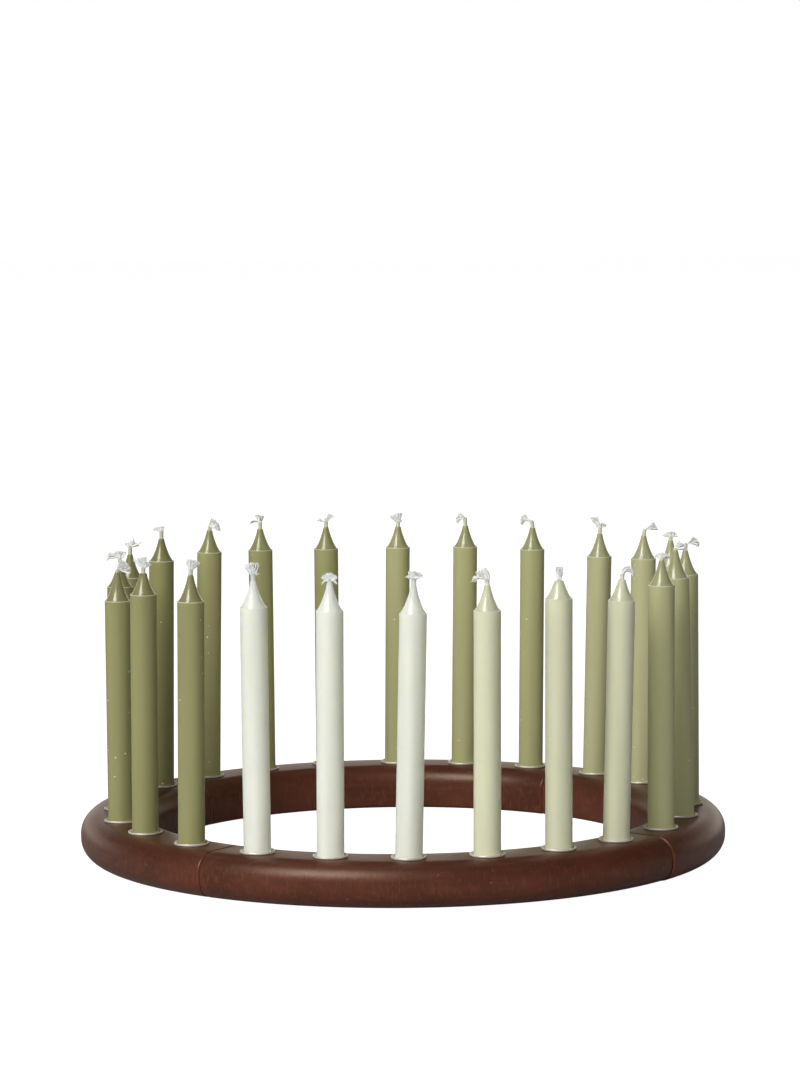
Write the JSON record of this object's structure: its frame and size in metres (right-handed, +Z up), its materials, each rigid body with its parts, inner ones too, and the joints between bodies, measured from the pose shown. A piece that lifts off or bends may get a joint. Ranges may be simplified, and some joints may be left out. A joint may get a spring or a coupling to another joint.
{
  "type": "advent candle holder",
  "caption": "Round wooden advent candle wreath in quarter sections, with metal cups holding slim wax candles shaded from white to moss green.",
  "frame": {"origin": "centre of the ring on the table surface", "axes": "+Z up; the four seams lie on the X and Y axes; the picture looks from between -Y and +X"},
  "size_m": [0.3245, 0.3245, 0.1613],
  "materials": {
    "wood": "dark red-brown stain under satin lacquer",
    "dowel_wood": "bare",
    "cup_metal": "satin, warm silver",
    "wick_cotton": "waxed cotton, frayed at the end",
    "wax_white": "smooth paraffin wax",
    "wax_cream": "smooth paraffin wax",
    "wax_pale_sage": "smooth paraffin wax",
    "wax_sage": "smooth paraffin wax",
    "wax_grey_green": "smooth paraffin wax",
    "wax_olive": "smooth paraffin wax",
    "wax_fern": "smooth paraffin wax",
    "wax_moss": "smooth paraffin wax"
  },
  "bodies": {
    "quarter_front_right_body": {"quarter_front_right": "wood", "cups_front_right": "cup_metal", "dowel_right": "dowel_wood"},
    "quarter_back_right_body": {"quarter_back_right": "wood", "cups_back_right": "cup_metal", "dowel_back": "dowel_wood"},
    "quarter_back_left_body": {"quarter_back_left": "wood", "cups_back_left": "cup_metal", "dowel_left": "dowel_wood"},
    "quarter_front_left_body": {"quarter_front_left": "wood", "cups_front_left": "cup_metal", "dowel_front": "dowel_wood"},
    "candle_01_body": {"candle_01": "wax_white", "wick_01": "wick_cotton"},
    "candle_02_body": {"candle_02": "wax_white", "wick_02": "wick_cotton"},
    "candle_03_body": {"candle_03": "wax_white", "wick_03": "wick_cotton"},
    "candle_04_body": {"candle_04": "wax_cream", "wick_04": "wick_cotton"},
    "candle_05_body": {"candle_05": "wax_cream", "wick_05": "wick_cotton"},
    "candle_06_body": {"candle_06": "wax_cream", "wick_06": "wick_cotton"},
    "candle_07_body": {"candle_07": "wax_pale_sage", "wick_07": "wick_cotton"},
    "candle_08_body": {"candle_08": "wax_pale_sage", "wick_08": "wick_cotton"},
    "candle_09_body": {"candle_09": "wax_pale_sage", "wick_09": "wick_cotton"},
    "candle_10_body": {"candle_10": "wax_sage", "wick_10": "wick_cotton"},
    "candle_11_body": {"candle_11": "wax_sage", "wick_11": "wick_cotton"},
    "candle_12_body": {"candle_12": "wax_sage", "wick_12": "wick_cotton"},
    "candle_13_body": {"candle_13": "wax_grey_green", "wick_13": "wick_cotton"},
    "candle_14_body": {"candle_14": "wax_grey_green", "wick_14": "wick_cotton"},
    "candle_15_body": {"candle_15": "wax_grey_green", "wick_15": "wick_cotton"},
    "candle_16_body": {"candle_16": "wax_olive", "wick_16": "wick_cotton"},
    "candle_17_body": {"candle_17": "wax_olive", "wick_17": "wick_cotton"},
    "candle_18_body": {"candle_18": "wax_olive", "wick_18": "wick_cotton"},
    "candle_19_body": {"candle_19": "wax_fern", "wick_19": "wick_cotton"},
    "candle_20_body": {"candle_20": "wax_fern", "wick_20": "wick_cotton"},
    "candle_21_body": {"candle_21": "wax_fern", "wick_21": "wick_cotton"},
    "candle_22_body": {"candle_22": "wax_moss", "wick_22": "wick_cotton"},
    "candle_23_body": {"candle_23": "wax_moss", "wick_23": "wick_cotton"},
    "candle_24_body": {"candle_24": "wax_moss", "wick_24": "wick_cotton"}
  },
  "joints": [
    {"name": "part_back", "type": "slide", "parent": "quarter_front_right_body", "child": "quarter_back_right_body", "axis": [0, 1, 0], "range_m": [0, 0.04]},
    {"name": "part_left", "type": "slide", "parent": "quarter_front_right_body", "child": "quarter_front_left_body", "axis": [-1, 0, 0], "range_m": [0, 0.04]},
    {"name": "part_back_left", "type": "slide", "parent": "quarter_front_left_body", "child": "quarter_back_left_body", "axis": [0, 1, 0], "range_m": [0, 0.04]},
    {"name": "lift_01", "type": "slide", "parent": "quarter_front_right_body", "child": "candle_01_body", "axis": [0, 0, 1], "range_m": [0, 0.04]},
    {"name": "lift_02", "type": "slide", "parent": "quarter_front_right_body", "child": "candle_02_body", "axis": [0, 0, 1], "range_m": [0, 0.04]},
    {"name": "lift_03", "type": "slide", "parent": "quarter_front_right_body", "child": "candle_03_body", "axis": [0, 0, 1], "range_m": [0, 0.04]},
    {"name": "lift_04", "type": "slide", "parent": "quarter_front_right_body", "child": "candle_04_body", "axis": [0, 0, 1], "range_m": [0, 0.04]},
    {"name": "lift_05", "type": "slide", "parent": "quarter_front_right_body", "child": "candle_05_body", "axis": [0, 0, 1], "range_m": [0, 0.04]},
    {"name": "lift_06", "type": "slide", "parent": "quarter_front_right_body", "child": "candle_06_body", "axis": [0, 0, 1], "range_m": [0, 0.04]},
    {"name": "lift_07", "type": "slide", "parent": "quarter_back_right_body", "child": "candle_07_body", "axis": [0, 0, 1], "range_m": [0, 0.04]},
    {"name": "lift_08", "type": "slide", "parent": "quarter_back_right_body", "child": "candle_08_body", "axis": [0, 0, 1], "range_m": [0, 0.04]},
    {"name": "lift_09", "type": "slide", "parent": "quarter_back_right_body", "child": "candle_09_body", "axis": [0, 0, 1], "range_m": [0, 0.04]},
    {"name": "lift_10", "type": "slide", "parent": "quarter_back_right_body", "child": "candle_10_body", "axis": [0, 0, 1], "range_m": [0, 0.04]},
    {"name": "lift_11", "type": "slide", "parent": "quarter_back_right_body", "child": "candle_11_body", "axis": [0, 0, 1], "range_m": [0, 0.04]},
    {"name": "lift_12", "type": "slide", "parent": "quarter_back_right_body", "child": "candle_12_body", "axis": [0, 0, 1], "range_m": [0, 0.04]},
    {"name": "lift_13", "type": "slide", "parent": "quarter_back_left_body", "child": "candle_13_body", "axis": [0, 0, 1], "range_m": [0, 0.04]},
    {"name": "lift_14", "type": "slide", "parent": "quarter_back_left_body", "child": "candle_14_body", "axis": [0, 0, 1], "range_m": [0, 0.04]},
    {"name": "lift_15", "type": "slide", "parent": "quarter_back_left_body", "child": "candle_15_body", "axis": [0, 0, 1], "range_m": [0, 0.04]},
    {"name": "lift_16", "type": "slide", "parent": "quarter_back_left_body", "child": "candle_16_body", "axis": [0, 0, 1], "range_m": [0, 0.04]},
    {"name": "lift_17", "type": "slide", "parent": "quarter_back_left_body", "child": "candle_17_body", "axis": [0, 0, 1], "range_m": [0, 0.04]},
    {"name": "lift_18", "type": "slide", "parent": "quarter_back_left_body", "child": "candle_18_body", "axis": [0, 0, 1], "range_m": [0, 0.04]},
    {"name": "lift_19", "type": "slide", "parent": "quarter_front_left_body", "child": "candle_19_body", "axis": [0, 0, 1], "range_m": [0, 0.04]},
    {"name": "lift_20", "type": "slide", "parent": "quarter_front_left_body", "child": "candle_20_body", "axis": [0, 0, 1], "range_m": [0, 0.04]},
    {"name": "lift_21", "type": "slide", "parent": "quarter_front_left_body", "child": "candle_21_body", "axis": [0, 0, 1], "range_m": [0, 0.04]},
    {"name": "lift_22", "type": "slide", "parent": "quarter_front_left_body", "child": "candle_22_body", "axis": [0, 0, 1], "range_m": [0, 0.04]},
    {"name": "lift_23", "type": "slide", "parent": "quarter_front_left_body", "child": "candle_23_body", "axis": [0, 0, 1], "range_m": [0, 0.04]},
    {"name": "lift_24", "type": "slide", "parent": "quarter_front_left_body", "child": "candle_24_body", "axis": [0, 0, 1], "range_m": [0, 0.04]}
  ],
  "couplings": [
    {"joint": "part_back_left", "follows": "part_back", "ratio": 1}
  ]
}
